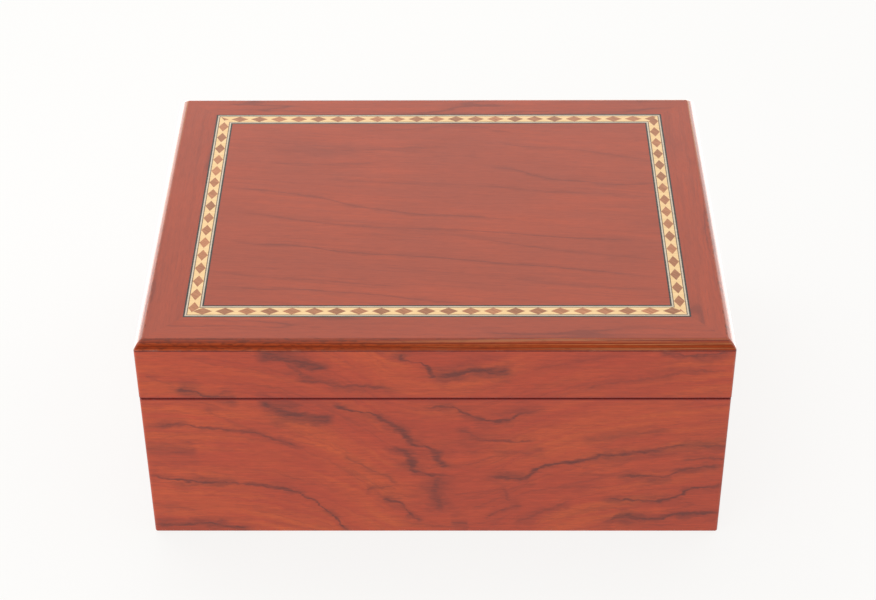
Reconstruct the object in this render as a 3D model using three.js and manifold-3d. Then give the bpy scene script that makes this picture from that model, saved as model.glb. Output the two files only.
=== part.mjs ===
// A veneered keepsake box with an inlaid lid, in millimetres, +Z up.
// The origin is the middle of the underside, +X is to the right and -Y is the front.
// Core boards are mitred round a bottom and a top panel and veneered outside. Thin liners stand
// inside, and those of the base rise as a lip into the lid. Two brass stop hinges join them.
import * as THREE from 'three';
import { mergeVertices } from 'three/addons/utils/BufferGeometryUtils.js';
import Module from 'manifold-3d';

const wasm = await Module();
wasm.setup();

// Overall sizes
const lidWidth = 260;
const lidDepth = 201;
const rimHeight = 80.5; // from the table to the top of the base
const seamGap = 0.375; // between the closed lid and the base
const lidHeight = 30.625;
const rimStep = 0.25; // the base is smaller than the lid by this much on each side

// Core, veneer and lining
const boardThickness = 10;
const veneerThickness = 0.625;
const bottomThickness = 5;
const topThickness = 6;
const panelRebate = 5; // how far a panel is let into the boards
const liningThickness = 3;
const floorLiningThickness = 2.5;
const lipHeight = 5; // lining that stands above the rim
const lipHeadroom = 1; // between the lip and the lid's lining
const feltThickness = 0.75;
const feltStand = 0.25; // the felt stands this much below the boards
const feltMargin = 0.5; // from the felt's edge to the boards

// Top edge and inlay
const bevelLeg = 3.75;
const edgingLand = 0.5; // flat left on the edging beside each arris of the bevel
const inlayWidth = 8.5;
const border = { left: 19.75, right: 18.125, front: 18.875, back: 17.25 }; // lid's edge to inlay

// Hinges
const hingeLength = 38;
const hingeInset = 50; // from the lid's side to the middle of a hinge
const leafThickness = 1.25;
const leafWidth = 8.5; // in the wood
const leafClearance = 0.25; // round a leaf in its recess
const barrelRadius = 2.5;
const barrelClearance = 0.375; // from the barrel to the lid's back
const knuckles = 5;
const knuckleGap = 0.25;
const pinRadius = 1.25;
const pinClearance = 0.0625;
const pinStand = 0.5; // pin beyond the barrel at each end
const lidStop = 95; // degrees
const stopReach = 2.5; // how far heel and stop bar stand out past the barrel
const stopClearance = 0.1;

// Hinge screws
const screwSpacing = 22;
const screwLength = 9;
const screwHeadRadius = 2.1;
const screwShankRadius = 1.1;
const screwHeadDepth = 1.1;
const screwHeadRim = 0.2; // upright edge round a countersunk head
const screwSlotWidth = 0.5;
const screwSlotDepth = 0.5;
const screwClearance = 0.2;
const roundSegments = 24;

// Levels and footprints that follow from the sizes
const lidBottom = rimHeight + seamGap;
const boxHeight = lidBottom + lidHeight;
const edging = bevelLeg + edgingLand;
const topVeneerBottom = boxHeight - veneerThickness;
const topPanelBottom = topVeneerBottom - topThickness;
const lidLiningTop = topPanelBottom - floorLiningThickness;
const floorTop = feltThickness + bottomThickness;
const lidFoot = { x: lidWidth / 2, y: lidDepth / 2 };
const baseFoot = { x: lidFoot.x - rimStep, y: lidFoot.y - rimStep };
const boardInside = veneerThickness + boardThickness;
const liningInside = boardInside + liningThickness;
const hingeAxis = { y: lidFoot.y + barrelClearance + barrelRadius, z: rimHeight + seamGap / 2 };
const leafInnerEnd = lidFoot.y - leafWidth;
const hingePlaces = { left: hingeInset - lidFoot.x, right: lidFoot.x - hingeInset };

const finishes = {
  veneer: { color: 0xa8503c, roughness: 0.12, metalness: 0 },
  edgingWood: { color: 0x7c4528, roughness: 0.15, metalness: 0 },
  inlay: { color: 0xd9b68a, roughness: 0.15, metalness: 0 },
  core: { color: 0xb89468, roughness: 0.8, metalness: 0 },
  lining: { color: 0xc08a60, roughness: 0.6, metalness: 0 },
  brass: { color: 0xc9a24d, roughness: 0.3, metalness: 1 },
  felt: { color: 0x26382c, roughness: 1, metalness: 0 },
};

function piece(name, geometry, finish) {
  const plain = geometry.index ? geometry.toNonIndexed() : geometry;
  plain.computeVertexNormals();
  const mesh = new THREE.Mesh(plain, new THREE.MeshStandardMaterial(finishes[finish]));
  mesh.name = name;
  return mesh;
}

// Moves every vertex of a geometry to where place(x, y, z) puts it
function mapped(geometry, place) {
  const position = geometry.attributes.position;
  for (let i = 0; i < position.count; i += 1) {
    position.setXYZ(i, ...place(position.getX(i), position.getY(i), position.getZ(i)));
  }
  return geometry;
}

// A right-angled block between two corners
function block(low, high) {
  return mapped(new THREE.BoxGeometry(1, 1, 1), (...at) =>
    at.map((share, i) => (share < 0 ? low[i] : high[i])));
}

// A flat sheet of any outline between two levels
function sheet(outline, low, high) {
  const shape = new THREE.Shape(outline.map(([x, y]) => new THREE.Vector2(x, y)));
  const raised = new THREE.ExtrudeGeometry(shape, { depth: 1, bevelEnabled: false });
  return mapped(raised, (x, y, up) => [x, y, up < 0.5 ? low : high]);
}

// One side of a mitred frame. The profile's points are [distance in from the outer face, level],
// and the footprint is half the frame's size each way.
function mitred(side, foot, profile) {
  const shape = new THREE.Shape(profile.map(([inward, level]) => new THREE.Vector2(inward, level)));
  const length = new THREE.ExtrudeGeometry(shape, { depth: 1, bevelEnabled: false });
  const places = {
    front: (inward, level, end) => [end * (foot.x - inward), inward - foot.y, level],
    back: (inward, level, end) => [-end * (foot.x - inward), foot.y - inward, level],
    left: (inward, level, end) => [inward - foot.x, -end * (foot.y - inward), level],
    right: (inward, level, end) => [foot.x - inward, end * (foot.y - inward), level],
  };
  return mapped(length, (inward, level, along) => places[side](inward, level, along < 0.5 ? -1 : 1));
}

function rectangle(outer, inner, low, high) {
  return [[outer, low], [inner, low], [inner, high], [outer, high]];
}

function solid(geometry) {
  const bare = geometry.clone();
  bare.deleteAttribute('normal');
  bare.deleteAttribute('uv');
  const merged = mergeVertices(bare);
  return new wasm.Manifold(new wasm.Mesh({
    numProp: 3,
    vertProperties: new Float32Array(merged.attributes.position.array),
    triVerts: new Uint32Array(merged.index.array),
  }));
}

function surface(body) {
  const { vertProperties, triVerts } = body.getMesh();
  const geometry = new THREE.BufferGeometry();
  geometry.setAttribute('position', new THREE.BufferAttribute(vertProperties, 3));
  geometry.setIndex(new THREE.BufferAttribute(triVerts, 1));
  return geometry;
}

function joined(geometries) {
  return surface(geometries.map(solid).reduce((sum, next) => sum.add(next)));
}

function carved(geometry, cutters) {
  return surface(cutters.map(solid).reduce((rest, cutter) => rest.subtract(cutter), solid(geometry)));
}

// A round bar along X, centred on the hinge's axis
function barAlongX(radius, start, end) {
  const bar = new THREE.CylinderGeometry(radius, radius, end - start, roundSegments);
  return bar.rotateZ(Math.PI / 2).translate((start + end) / 2, 0, 0);
}

// A screw's turned form with its head's face at level 0 and its point down, or the room for it
function screwForm(clearance) {
  const head = screwHeadRadius + clearance;
  const shank = screwShankRadius + clearance;
  const profile = [
    [0, -screwLength - clearance],
    [shank, -screwLength + screwShankRadius],
    [shank, -screwHeadDepth - clearance],
    [head, -screwHeadRim],
    [head, clearance],
    [0, clearance],
  ];
  const points = profile.map(([radius, level]) => new THREE.Vector2(radius, level));
  return new THREE.LatheGeometry(points, roundSegments).rotateX(Math.PI / 2);
}

const screwPlaces = [-screwSpacing / 2, screwSpacing / 2];
const screwLine = lidFoot.y - leafWidth / 2;

// Holes for the screws of both hinges, down from the rim or up into the lid
function screwHoles(upward) {
  const level = upward ? lidBottom : rimHeight;
  return Object.values(hingePlaces).flatMap((place) => screwPlaces.map((offset) => {
    const hole = screwForm(screwClearance);
    return (upward ? hole.rotateX(Math.PI) : hole).translate(place + offset, screwLine, level);
  }));
}

// Recesses for the leaves of both hinges, open through the back
function leafRecesses(low, high) {
  const halfLength = hingeLength / 2 + leafClearance;
  return Object.values(hingePlaces).map((place) => block(
    [place - halfLength, leafInnerEnd - leafClearance, low],
    [place + halfLength, hingeAxis.y, high],
  ));
}

const baseLeafFloor = rimHeight - leafThickness;
const lidLeafRoof = lidBottom + leafThickness;
const cuts = {
  baseBoard: () => [...leafRecesses(baseLeafFloor, lidBottom), ...screwHoles(false)],
  baseVeneer: () => leafRecesses(baseLeafFloor, lidBottom),
  lidBoard: () => [...leafRecesses(rimHeight, lidLeafRoof), ...screwHoles(true)],
  lidVeneer: () => leafRecesses(rimHeight, lidLeafRoof),
};

// Only the back pieces carry the hinges
function cutForHinges(side, geometry, kind) {
  return side === 'back' ? carved(geometry, cuts[kind]()) : geometry;
}

const sides = ['front', 'back', 'left', 'right'];

function baseBoard(side) {
  const rebateStart = boardInside - panelRebate;
  const profile = [
    [veneerThickness, feltStand],
    [rebateStart, feltStand],
    [rebateStart, floorTop],
    [boardInside, floorTop],
    [boardInside, rimHeight],
    [veneerThickness, rimHeight],
  ];
  const board = cutForHinges(side, mitred(side, baseFoot, profile), 'baseBoard');
  return piece(`base_${side}_board`, board, 'core');
}

function baseVeneer(side) {
  const profile = rectangle(0, veneerThickness, feltStand, rimHeight);
  const veneer = cutForHinges(side, mitred(side, baseFoot, profile), 'baseVeneer');
  return piece(`base_${side}_veneer`, veneer, 'veneer');
}

function baseLiner(side) {
  const bottom = floorTop + floorLiningThickness;
  const profile = rectangle(boardInside, liningInside, bottom, rimHeight + lipHeight);
  return piece(`base_${side}_liner`, mitred(side, baseFoot, profile), 'lining');
}

// A level panel that fills a footprint up to a given distance from its edge
function panel(name, foot, margin, low, high, finish) {
  const x = foot.x - margin;
  const y = foot.y - margin;
  return piece(name, block([-x, -y, low], [x, y, high]), finish);
}

function basePanels() {
  const rebateStart = boardInside - panelRebate;
  const floorLiningTop = floorTop + floorLiningThickness;
  return [
    panel('underside_felt', baseFoot, rebateStart + feltMargin, 0, feltThickness, 'felt'),
    panel('bottom_panel', baseFoot, rebateStart, feltThickness, floorTop, 'core'),
    panel('floor_liner', baseFoot, boardInside, floorTop, floorLiningTop, 'lining'),
  ];
}

// The board steps in at the top for the edging outside and for the top panel inside
function lidBoard(side) {
  const rebateStart = boardInside - panelRebate + edgingLand;
  const profile = [
    [veneerThickness, lidBottom],
    [boardInside, lidBottom],
    [boardInside, topPanelBottom],
    [rebateStart, topPanelBottom],
    [rebateStart, topVeneerBottom],
    [edging, topVeneerBottom],
    [edging, boxHeight - edging],
    [veneerThickness, boxHeight - edging],
  ];
  const board = cutForHinges(side, mitred(side, lidFoot, profile), 'lidBoard');
  return piece(`lid_${side}_board`, board, 'core');
}

function lidVeneer(side) {
  const profile = rectangle(0, veneerThickness, lidBottom, boxHeight - edging);
  const veneer = cutForHinges(side, mitred(side, lidFoot, profile), 'lidVeneer');
  return piece(`lid_${side}_veneer`, veneer, 'veneer');
}

function bevelledEdging(side) {
  const profile = [
    [0, boxHeight - edging],
    [edging, boxHeight - edging],
    [edging, boxHeight],
    [bevelLeg, boxHeight],
    [0, boxHeight - bevelLeg],
  ];
  return piece(`lid_${side}_edging`, mitred(side, lidFoot, profile), 'edgingWood');
}

function lidLiner(side) {
  const bottom = rimHeight + lipHeight + lipHeadroom;
  const profile = rectangle(boardInside, liningInside, bottom, lidLiningTop);
  return piece(`lid_${side}_liner`, mitred(side, lidFoot, profile), 'lining');
}

function lidPanels() {
  const rebateStart = boardInside - panelRebate + edgingLand;
  return [
    panel('top_panel', lidFoot, rebateStart, topPanelBottom, topVeneerBottom, 'core'),
    panel('lid_ceiling_liner', lidFoot, boardInside, lidLiningTop, topPanelBottom, 'lining'),
  ];
}

// Corners of a rectangle on the lid, in order round it from the front left
function corners(left, right, front, back) {
  return [[left, front], [right, front], [right, back], [left, back]];
}

const edgingInside = corners(
  edging - lidFoot.x, lidFoot.x - edging, edging - lidFoot.y, lidFoot.y - edging);
const inlayOutside = corners(border.left - lidFoot.x, lidFoot.x - border.right,
  border.front - lidFoot.y, lidFoot.y - border.back);
const inlayInside = corners(
  border.left + inlayWidth - lidFoot.x, lidFoot.x - border.right - inlayWidth,
  border.front + inlayWidth - lidFoot.y, lidFoot.y - border.back - inlayWidth);
const cornerBeside = { front: 0, right: 1, back: 2, left: 3 };

// One side of a flat mitred border between an outer and an inner rectangle
function borderStrip(side, outer, inner) {
  const start = cornerBeside[side];
  const end = (start + 1) % outer.length;
  return sheet([outer[start], outer[end], inner[end], inner[start]], topVeneerBottom, boxHeight);
}

function crossBanding(side) {
  return piece(`crossband_${side}`, borderStrip(side, edgingInside, inlayOutside), 'veneer');
}

function inlayBanding(side) {
  return piece(`inlay_banding_${side}`, borderStrip(side, inlayOutside, inlayInside), 'inlay');
}

function fieldVeneer() {
  return piece('lid_field_veneer', sheet(inlayInside, topVeneerBottom, boxHeight), 'veneer');
}

// Start and end of a hinge's nth knuckle along its axis
function knuckleSpan(n) {
  const pitch = hingeLength / knuckles;
  const start = n * pitch - hingeLength / 2;
  return [start + knuckleGap / 2, start + pitch - knuckleGap / 2];
}

function knucklesOf(first) {
  const spans = [];
  for (let n = first; n < knuckles; n += 2) {
    spans.push(knuckleSpan(n));
  }
  return spans;
}

// Levels and distances below are measured from the hinge's axis
const leafFace = seamGap / 2;
const leafBack = leafFace + leafThickness;
const leafStart = leafInnerEnd - hingeAxis.y;
const barrelStart = -barrelRadius - barrelClearance;
const boreRadius = pinRadius + pinClearance;
const stopEnd = barrelRadius + stopReach;

// How far back the stop bar's face stands at a depth below the axis, so that the heel of the
// lid's leaf lies along it with the lid at its stop
function stopFace(depth) {
  const lean = THREE.MathUtils.degToRad(lidStop - 90);
  return leafFace / Math.cos(lean) - depth * Math.tan(lean) - stopClearance;
}

// A bar along the base leaf, below the barrel, that stops the lid's heels
function stopBar(start, end, top) {
  const front = barrelStart + stopClearance;
  const outline = [
    [front, -top], [front, -stopEnd], [stopFace(stopEnd), -stopEnd], [stopFace(top), -top],
  ];
  const shape = new THREE.Shape(outline.map(([y, z]) => new THREE.Vector2(y, z)));
  const bar = new THREE.ExtrudeGeometry(shape, { depth: 1, bevelEnabled: false });
  return mapped(bar, (y, z, along) => [along < 0.5 ? start : end, y, z]);
}

function leafCuts(upward) {
  const bore = barAlongX(boreRadius, -hingeLength, hingeLength);
  const level = upward ? leafFace : -leafFace;
  const holes = screwPlaces.map((offset) => {
    const hole = screwForm(screwClearance);
    const turned = upward ? hole.rotateX(Math.PI) : hole;
    return turned.translate(offset, screwLine - hingeAxis.y, level);
  });
  return [bore, ...holes];
}

function baseLeaf() {
  const half = hingeLength / 2;
  const parts = [
    block([-half, leafStart, -leafBack], [half, barrelStart, -leafFace]),
    stopBar(-half, half, barrelRadius + knuckleGap),
  ];
  for (const [start, end] of knucklesOf(0)) {
    parts.push(barAlongX(barrelRadius, start, end));
    parts.push(block([start, leafStart, -leafBack], [end, 0, -leafFace]));
    parts.push(stopBar(start, end, 0));
  }
  return carved(joined(parts), leafCuts(false));
}

function lidLeaf() {
  const half = hingeLength / 2;
  const parts = [block([-half, leafStart, leafFace], [half, barrelStart, leafBack])];
  for (const [start, end] of knucklesOf(1)) {
    parts.push(barAlongX(barrelRadius, start, end));
    parts.push(block([start, leafStart, leafFace], [end, stopEnd, leafBack]));
  }
  return carved(joined(parts), leafCuts(true));
}

function hingePin() {
  const half = hingeLength / 2 + pinStand;
  const round = pinStand / 2;
  const profile = [
    [0, -half], [pinRadius - round, -half], [pinRadius, round - half],
    [pinRadius, half - round], [pinRadius - round, half], [0, half],
  ];
  const points = profile.map(([radius, along]) => new THREE.Vector2(radius, along));
  return new THREE.LatheGeometry(points, roundSegments).rotateZ(Math.PI / 2);
}

function screw() {
  const slot = block(
    [-screwHeadRadius * 2, -screwSlotWidth / 2, -screwSlotDepth],
    [screwHeadRadius * 2, screwSlotWidth / 2, screwSlotDepth],
  );
  return carved(screwForm(0), [slot]);
}

// Half of a hinge: its leaf and screws, and for the base its pin, placed about the axis
function hingeHalf(hand, half) {
  const group = new THREE.Group();
  group.position.set(hingePlaces[hand], hingeAxis.y, hingeAxis.z);
  const inLid = half === 'lid';
  group.add(piece(`${hand}_hinge_${half}_leaf`, inLid ? lidLeaf() : baseLeaf(), 'brass'));
  screwPlaces.forEach((offset, i) => {
    const name = `${hand}_hinge_${half}_screw_${i + 1}`;
    const turned = inLid ? screw().rotateX(Math.PI) : screw();
    const fitted = piece(name, turned, 'brass');
    fitted.position.set(offset, screwLine - hingeAxis.y, inLid ? leafFace : -leafFace);
    group.add(fitted);
  });
  if (!inLid) {
    group.add(piece(`${hand}_hinge_pin`, hingePin(), 'brass'));
  }
  return group;
}

const base = new THREE.Group();
base.add(...basePanels());
base.add(...sides.flatMap((side) => [baseBoard(side), baseVeneer(side), baseLiner(side)]));
base.add(hingeHalf('left', 'base'), hingeHalf('right', 'base'));

const lid = new THREE.Group();
lid.add(...lidPanels(), fieldVeneer());
lid.add(...sides.flatMap((side) => [
  lidBoard(side), lidVeneer(side), bevelledEdging(side),
  crossBanding(side), inlayBanding(side), lidLiner(side),
]));
lid.add(hingeHalf('left', 'lid'), hingeHalf('right', 'lid'));

const box = new THREE.Group();
box.add(base, lid);

export default box;
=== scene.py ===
"""A lacquered keepsake box with an inlaid lid: its pieces, finishes, light and camera.

Lengths in the tables are in millimetres, in the box's own frame, and become metres as each mesh is made.
"""

import math
import random

import bmesh
import bpy
from mathutils import Matrix, Vector


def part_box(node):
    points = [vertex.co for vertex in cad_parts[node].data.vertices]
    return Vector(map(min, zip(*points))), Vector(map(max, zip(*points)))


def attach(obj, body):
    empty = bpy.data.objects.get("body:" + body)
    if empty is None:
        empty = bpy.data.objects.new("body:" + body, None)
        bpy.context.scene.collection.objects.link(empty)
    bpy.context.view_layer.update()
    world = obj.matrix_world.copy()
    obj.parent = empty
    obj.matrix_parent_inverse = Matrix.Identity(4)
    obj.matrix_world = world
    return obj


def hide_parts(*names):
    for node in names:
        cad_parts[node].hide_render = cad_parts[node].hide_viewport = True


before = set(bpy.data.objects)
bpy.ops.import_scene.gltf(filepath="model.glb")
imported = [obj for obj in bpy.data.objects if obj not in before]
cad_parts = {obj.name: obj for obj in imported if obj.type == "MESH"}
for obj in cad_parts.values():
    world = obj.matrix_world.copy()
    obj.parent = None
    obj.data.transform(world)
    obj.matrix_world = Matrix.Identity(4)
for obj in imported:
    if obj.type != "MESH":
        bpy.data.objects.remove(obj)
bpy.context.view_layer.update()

MM = 0.001
SIDES = ("front", "right", "back", "left")
ARC_STEPS = 6

# Rounded edges of the outside pieces
CORNER_RADIUS = 1.2
FOOT_RADIUS = 1.0
SEAM_ARRIS = 0.4
JOINT_ARRIS = 0.15
HIDDEN_RADIUS = 0.05
# The bevel is a little crowned, and round where it meets the top and the upright face
BEVEL_CROWN = 0.76
CROWN_RADIUS = 7.5
BEVEL_TOP_ARRIS = 1.85
BEVEL_FOOT_ARRIS = 1.2
# How far the edging goes on past the bevel, both along the top and down the face
PAST_BEVEL = 0.5
# How far the base's skins stand out past its CAD veneers, which leaves a smaller step at the seam
BASE_SWELL = 0.12
# The skins of the base stop this far above its foot on the inside
FOOT_LIFT = 0.1

# Eased edges of the pieces kept from the frame, where faces turn by more than an angle
LINER_EASING = 0.5
BRASS_EASING = 0.12
EASING_STEPS = 3
EASED_FROM = 32  # degrees
# Corners nearer than this count as one corner
JOIN_WITHIN = 0.002

FELT_CORNER = 1.0
# Shading: edges of the outside pieces look sharp from this angle on, and large faces look flat
SHARP_FROM = 30  # degrees
FLAT_WEIGHT = 100

# Make-up of the inlay banding, outside in: (part, width)
BANDING = (
    ("black_line", 0.75),
    ("white_line", 0.7),
    ("dark_line", 0.35),
    ("field", 4.9),
    ("dark_line", 0.35),
    ("white_line", 0.7),
    ("black_line", 0.75),
)
DIAMOND_PITCH = 9.81
DIAMOND_LENGTH = 8.5
# The shade of the banding's plain pieces, between 0 and 1, and the seed of the diamonds' shades
MIDDLE_TONE = 0.5
TONE_SEED = 7
# From each side's first corner (the left one, or the front one) to the middle of its first diamond
FIRST_DIAMOND = {"front": 8.3, "right": 11.3, "back": 11.8, "left": 6.6}

# Camera
EYE = (8.27, -784.9, 659.9)
YAW, PITCH, ROLL = 0.559, 37.468, -0.386  # degrees
LENS, SENSOR = 83.95, 36.0


def box_mm(node):
    low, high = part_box(node)
    return [c / MM for c in low], [c / MM for c in high]


# ------------------------ sizes taken from the frame

EDGING_LOW, EDGING_HIGH = box_mm("lid_front_edging")
LID_TOP = EDGING_HIGH[2]
EDGING = EDGING_HIGH[2] - EDGING_LOW[2]
LID_HALF = (EDGING_HIGH[0], -EDGING_LOW[1])
VENEER_LOW, VENEER_HIGH = box_mm("base_front_veneer")
BASE_HALF = (VENEER_HIGH[0] + BASE_SWELL, -VENEER_LOW[1] + BASE_SWELL)
VENEER = VENEER_HIGH[1] - VENEER_LOW[1]
BASE_FOOT, RIM = VENEER_LOW[2], VENEER_HIGH[2]
LID_FOOT = box_mm("lid_front_veneer")[0][2]
SEAM = (RIM + LID_FOOT) / 2
JOINT = LID_TOP - EDGING
BEVEL = EDGING - PAST_BEVEL
TOP_SKIN = box_mm("lid_field_veneer")[0][2]


def inlay_edges():
    """The outer rectangle of the inlay: x and y of its front left and back right corners."""
    front_low, front_high = box_mm("inlay_banding_front")
    back_high = box_mm("inlay_banding_back")[1]
    return front_low[0], front_low[1], front_high[0], back_high[1]


# ------------------------ mesh making


def filleted(corners, radii):
    """A closed outline whose corners are rounded by the radii, with an arc of several points each."""
    outline = []
    for i, corner in enumerate(corners):
        here = Vector(corner)
        if radii[i] <= 0:
            outline.append(tuple(here))
            continue
        before = (Vector(corners[i - 1]) - here).normalized()
        after = (Vector(corners[(i + 1) % len(corners)]) - here).normalized()
        half = before.angle(after) / 2
        middle = here + (before + after).normalized() * (radii[i] / math.sin(half))
        start = here + before * (radii[i] / math.tan(half)) - middle
        turn = math.pi - 2 * half
        turn *= 1 if start.cross(before) < 0 else -1
        for step in range(ARC_STEPS + 1):
            spun = Matrix.Rotation(turn * step / ARC_STEPS, 2) @ start
            outline.append(tuple(middle + spun))
    return outline


def new_piece(name, mesh_maker, body, nodes, material):
    """A piece made by mesh_maker(bmesh) in millimetres, riding on a body in place of CAD nodes."""
    shape = bmesh.new()
    mesh_maker(shape)
    bmesh.ops.scale(shape, vec=(MM, MM, MM), verts=shape.verts)
    bmesh.ops.recalc_face_normals(shape, faces=shape.faces)
    mesh = bpy.data.meshes.new(name)
    shape.to_mesh(mesh)
    shape.free()
    piece = bpy.data.objects.new(name, mesh)
    bpy.context.scene.collection.objects.link(piece)
    mesh.materials.append(material)
    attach(piece, body)
    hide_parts(*nodes)
    return piece


def shaded_smooth(piece, sharp_from=None):
    """Smooth shading that leaves flat faces flat and, given an angle, keeps sharper edges sharp."""
    mesh = piece.data
    mesh.polygons.foreach_set("use_smooth", [True] * len(mesh.polygons))
    if sharp_from:
        mesh.set_sharp_from_angle(angle=math.radians(sharp_from))
    weighted = piece.modifiers.new("flat_faces", "WEIGHTED_NORMAL")
    weighted.keep_sharp = True
    weighted.weight = FLAT_WEIGHT


def turned_to(side, point):
    """A point of the front side, turned about the box's middle to the named side."""
    x, y, z = point
    return {
        "front": (x, y, z),
        "right": (-y, x, z),
        "back": (-x, -y, z),
        "left": (y, -x, z),
    }[side]


def along_axis(side):
    return "x" if side in ("front", "back") else "y"


def side_halves(side, half):
    return half if along_axis(side) == "x" else (half[1], half[0])


def frame_side(side, half, profile, corner_radius):
    """Fills a bmesh with one mitred side of a frame whose upright corners are rounded.

    The profile is a closed outline of (distance in from the outer face, level), and
    corner_radius gives the plan radius at a distance in.
    """
    half_along, half_across = side_halves(side, half)

    def path(inward):
        radius = corner_radius(inward)
        x = half_along - inward - radius
        y = half_across - inward - radius
        points = []
        for step in range(ARC_STEPS + 1):
            angle = math.radians(225 + 45 * step / ARC_STEPS)
            points.append((radius * math.cos(angle) - x, radius * math.sin(angle) - y))
        return points + [(-px, py) for px, py in reversed(points)]

    def make(shape):
        rings = [
            [shape.verts.new(turned_to(side, (x, y, level))) for x, y in path(inward)]
            for inward, level in profile
        ]
        for ring, following in zip(rings, rings[1:] + rings[:1]):
            for i in range(len(ring) - 1):
                shape.faces.new((ring[i], ring[i + 1], following[i + 1], following[i]))
        shape.faces.new([ring[0] for ring in rings])
        shape.faces.new([ring[-1] for ring in reversed(rings)])

    return make


def prisms(outlines, low, high, tones=None):
    """Fills a bmesh with upright prisms, each with a shade of its own in the attribute "tone"."""

    def make(shape):
        tone_layer = shape.faces.layers.float.new("tone")
        for i, outline in enumerate(outlines):
            lower = [shape.verts.new((x, y, low)) for x, y in outline]
            upper = [shape.verts.new((x, y, high)) for x, y in outline]
            faces = [shape.faces.new(upper), shape.faces.new(list(reversed(lower)))]
            for a in range(len(outline)):
                b = (a + 1) % len(outline)
                faces.append(shape.faces.new((lower[a], lower[b], upper[b], upper[a])))
            for face in faces:
                face[tone_layer] = tones[i] if tones else MIDDLE_TONE

    return make


# ------------------------ node wiring


class Wiring:
    """The nodes of one material or group, with short ways to add and join them."""

    def __init__(self, tree):
        self.tree = tree

    def feed(self, socket, value):
        if isinstance(value, bpy.types.NodeSocket):
            self.tree.links.new(value, socket)
        elif value is not None:
            socket.default_value = value

    def node(self, kind, *values, **settings):
        made = self.tree.nodes.new(kind)
        for name, value in settings.items():
            setattr(made, name, value)
        for socket, value in zip(made.inputs, values):
            self.feed(socket, value)
        return made

    def calc(self, operation, *values):
        return self.node("ShaderNodeMath", *values, operation=operation).outputs[0]

    def plus(self, a, b):
        return self.calc("ADD", a, b)

    def minus(self, a, b):
        return self.calc("SUBTRACT", a, b)

    def times(self, a, b):
        return self.calc("MULTIPLY", a, b)

    def larger(self, a, b):
        return self.calc("MAXIMUM", a, b)

    def apart(self, a, b):
        return self.calc("ABSOLUTE", self.minus(a, b))

    def scaled(self, value, factor, shift=0.0):
        return self.calc("MULTIPLY_ADD", value, factor, shift)

    def ramp(self, value, low, high, to_low=0.0, to_high=1.0, kind="SMOOTHSTEP"):
        mapped = self.node(
            "ShaderNodeMapRange", value, low, high, to_low, to_high, interpolation_type=kind
        )
        return mapped.outputs[0]

    def mix(self, share, first, second, kind="MIX"):
        mixed = self.node("ShaderNodeMix", data_type="RGBA", blend_type=kind)
        for index, value in ((0, share), (6, first), (7, second)):
            self.feed(mixed.inputs[index], value)
        return mixed.outputs[2]

    def vector(self, x, y, z):
        return self.node("ShaderNodeCombineXYZ", x, y, z).outputs[0]

    def axes(self, vector):
        return self.node("ShaderNodeSeparateXYZ", vector).outputs

    def noise(self, vector, scale=1.0, detail=2.0, roughness=0.5, distortion=0.0):
        made = self.node("ShaderNodeTexNoise")
        for name, value in (
            ("Vector", vector),
            ("Scale", scale),
            ("Detail", detail),
            ("Roughness", roughness),
            ("Distortion", distortion),
        ):
            self.feed(made.inputs[name], value)
        return made.outputs[0]

    def stretched(self, vector, x, y, z, detail=2.0, shift=0.0):
        """Noise whose patches are about x, y and z millimetres long."""
        size = self.node("ShaderNodeVectorMath", vector, operation="MULTIPLY_ADD")
        self.feed(size.inputs[1], (1 / x, 1 / y, 1 / z))
        self.feed(size.inputs[2], (shift, 0.7 * shift, 1.3 * shift))
        return self.noise(size.outputs[0], detail=detail)

    def place_mm(self):
        """The point on the box in millimetres."""
        place = self.node("ShaderNodeTexCoord").outputs["Object"]
        scaled = self.node("ShaderNodeVectorMath", place, operation="SCALE")
        self.feed(scaled.inputs["Scale"], 1 / MM)
        return scaled.outputs[0]

    def use(self, group, **values):
        """Places a shader group and feeds its named inputs."""
        made = self.node("ShaderNodeGroup", node_tree=group)
        for name, value in values.items():
            self.feed(made.inputs[name.replace("_", " ")], value)
        return made.outputs


KINDS = {"value": "NodeSocketFloat", "vector": "NodeSocketVector", "colour": "NodeSocketColor"}


def group(name, inputs, outputs, wire):
    """A shader group. wire(wiring, inputs) gives the outputs' values by name."""
    tree = bpy.data.node_groups.new(name, "ShaderNodeTree")
    for words, in_out in ((inputs, "INPUT"), (outputs, "OUTPUT")):
        for socket, kind in words.items():
            tree.interface.new_socket(name=socket, in_out=in_out, socket_type=KINDS[kind])
    wiring = Wiring(tree)
    entry = tree.nodes.new("NodeGroupInput")
    results = wire(wiring, entry.outputs)
    leave = tree.nodes.new("NodeGroupOutput")
    for socket, value in results.items():
        wiring.feed(leave.inputs[socket], value)
    return tree


def material(name, wire, **constants):
    """A material with one Principled shader. wire(wiring) gives what its nodes drive by socket."""
    made = bpy.data.materials.new(name)
    made.use_nodes = True
    shader = made.node_tree.nodes["Principled BSDF"]
    for socket, value in constants.items():
        shader.inputs[socket.replace("_", " ")].default_value = value
    wiring = Wiring(made.node_tree)
    for socket, value in wire(wiring).items():
        wiring.feed(shader.inputs[socket], value)
    return made


def raised(wiring, height, strength, distance):
    bump = wiring.node("ShaderNodeBump")
    for name, value in (("Height", height), ("Strength", strength), ("Distance", distance)):
        wiring.feed(bump.inputs[name], value)
    return bump.outputs[0]


# ------------------------ shared effects


# The worn strip along an outer edge, and the part of it that is worn the most
WEAR_WIDTH, WORN_THROUGH = 1.6, 0.2


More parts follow.
